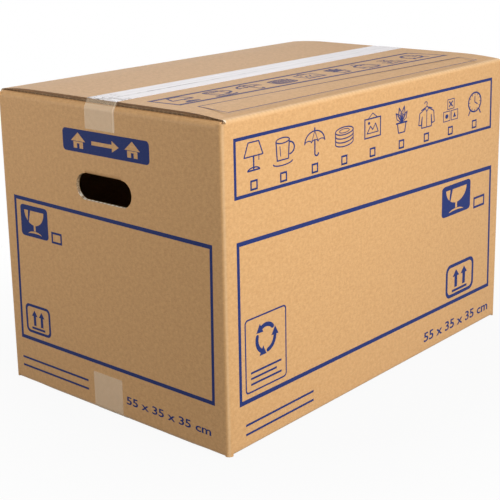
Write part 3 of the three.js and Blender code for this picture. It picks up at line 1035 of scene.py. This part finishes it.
def tick_row(name, tree, to_panel, material):
    """The boxes of one long panel, made by the tree and then kept as a plain mesh."""
    mesh = bpy.data.meshes.new(name + "_points")
    middle = INK_CLEAR + INK / 2
    points = []
    for place in TICK_PLACES:
        level = TICK_LEVEL - TICK_DROP * (place - TICK_PLACES[0])
        points.append((place * MM, level * MM, middle))
    mesh.from_pydata(points, [], [])
    row = bpy.data.objects.new(name, mesh)
    bpy.context.scene.collection.objects.link(row)
    modifier = row.modifiers.new("tick_row", "NODES")
    modifier.node_group = tree
    sizes = {
        "Box Width": (TICK_WIDE - TICK_WEIGHT) * MM,
        "Box Height": (TICK_HIGH - TICK_WEIGHT) * MM,
        "Line Weight": TICK_WEIGHT * MM,
        "Ink Thickness": INK,
        "Ink": material,
    }
    for item in tree.interface.items_tree:
        if item.in_out == "INPUT" and item.name in sizes:
            modifier[item.identifier] = sizes[item.name]
    bpy.context.view_layer.update()
    made = bpy.data.meshes.new_from_object(row.evaluated_get(bpy.context.evaluated_depsgraph_get()))
    row.modifiers.clear()
    row.data = made
    bpy.data.meshes.remove(mesh)
    made.name = name
    flat = bmesh.new()
    flat.from_mesh(made)
    for vert in flat.verts:
        vert.co = to_panel(*vert.co)
    bmesh.ops.recalc_face_normals(flat, faces=flat.faces)
    flat.to_mesh(made)
    flat.free()
    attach(row, "root")


# Stage and light

FLOOR_HALF = 8
FLOOR_CORNERS = ((-1, -1), (1, -1), (1, 1), (-1, 1))
FLOOR_GREY = (0.32, 0.32, 0.32, 1)
WHITE = (1, 1, 1, 1)

# How far from the box's middle the floor's white glow starts to grow and is full, and its share there

GLOW_REACH = (0.30, 0.66)
GLOW_SHARE = (0.94, 1.0)

# Light: the key faces the long side, the fill the near end, and the sheen lies behind the top

AMBIENT = 0.29
KEY_WATTS = 28.7
FILL_WATTS = 1.12
FILL_SPREAD = 50
FILL_COLOUR = (1, 0.95, 0.88)
SHEEN_WATTS = 6


def background_rays(nodes, links):
    """1 for the rays that see the white background: from the camera, a reflection or a clear piece."""
    rays = nodes.new("ShaderNodeLightPath").outputs
    seen = calculate(nodes, links, "MAXIMUM", rays["Is Camera Ray"], rays["Is Glossy Ray"])
    return calculate(nodes, links, "MAXIMUM", seen, rays["Is Transmission Ray"])


def make_floor():
    """A grey floor that shows white to the camera and keeps a little of the box's shadow."""
    material, nodes, links, shader = new_material("studio_floor")
    shader.inputs["Base Color"].default_value = FLOOR_GREY
    shader.inputs["Roughness"].default_value = 0.9
    shader.inputs["Specular IOR Level"].default_value = 0.1
    glow = nodes.new("ShaderNodeEmission")
    glow.inputs["Color"].default_value = WHITE
    place = nodes.new("ShaderNodeTexCoord")
    reach = nodes.new("ShaderNodeVectorMath")
    reach.operation = "LENGTH"
    links.new(place.outputs["Object"], reach.inputs[0])
    fade = remap(nodes, links, reach.outputs["Value"], *GLOW_REACH, *GLOW_SHARE)
    share = calculate(nodes, links, "MULTIPLY", fade, background_rays(nodes, links))
    mixed = nodes.new("ShaderNodeMixShader")
    links.new(share, mixed.inputs[0])
    links.new(shader.outputs[0], mixed.inputs[1])
    links.new(glow.outputs[0], mixed.inputs[2])
    links.new(mixed.outputs[0], nodes["Material Output"].inputs["Surface"])
    mesh = bpy.data.meshes.new("floor")
    corners = [(across * FLOOR_HALF, along * FLOOR_HALF, 0) for across, along in FLOOR_CORNERS]
    mesh.from_pydata(corners, [], [(0, 1, 2, 3)])
    mesh.materials.append(material)
    floor = bpy.data.objects.new("floor", mesh)
    bpy.context.scene.collection.objects.link(floor)


def make_world():
    """White where it is seen, and a plain level of light elsewhere."""
    world = bpy.data.worlds.new("studio")
    bpy.context.scene.world = world
    world.use_nodes = True
    nodes = world.node_tree.nodes
    links = world.node_tree.links
    background = nodes["Background"]
    background.inputs["Color"].default_value = WHITE
    level = remap(nodes, links, background_rays(nodes, links), 0.0, 1.0, AMBIENT, 1.0)
    links.new(level, background.inputs["Strength"])


def area_light(name, place, target, size, watts, spread=180, colour=(1, 1, 1)):
    """A square lamp at a place, turned to face a target."""
    data = bpy.data.lights.new(name, "AREA")
    data.size = size
    data.energy = watts
    data.spread = math.radians(spread)
    data.color = colour
    light = bpy.data.objects.new(name, data)
    light.location = place
    light.rotation_mode = "QUATERNION"
    light.rotation_quaternion = (Vector(target) - Vector(place)).to_track_quat("-Z", "Y")
    bpy.context.scene.collection.objects.link(light)


def main():
    make_camera()
    bpy.context.scene.view_settings.view_transform = "Standard"
    kraft = make_kraft()
    ink = make_ink()
    tape = make_tape()
    for node, material in (("carton", kraft), ("top_tape", tape), ("bottom_tape", tape)):
        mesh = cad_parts[node].data
        mesh.materials.clear()
        mesh.materials.append(material)
    sides = side_artwork()
    print_on("end_print_front", end_artwork(0), front_end, ink)
    print_on("end_print_back", end_artwork(BACK_TEXT_SHIFT), back_end, ink)
    print_on("side_print_near", sides, near_side, ink)
    print_on("side_print_far", sides, far_side, ink)
    print_on("flap_print", top_artwork(), top_face, ink)
    tree = tick_row_tree()
    tick_row("tick_row_near", tree, near_side, ink)
    tick_row("tick_row_far", tree, far_side, ink)
    make_floor()
    make_world()
    area_light("key", (-0.28, -1.55, 0.95), (0, 0, 0.22), 0.8, KEY_WATTS)
    area_light("fill", (-1.6, 1.0, 0.62), (-0.28, 0.24, 0.42), 0.6, FILL_WATTS, FILL_SPREAD, FILL_COLOUR)
    area_light("sheen", (0.9, 1.4, 1.5), (0, 0, 0.36), 1.6, SHEEN_WATTS)


main()
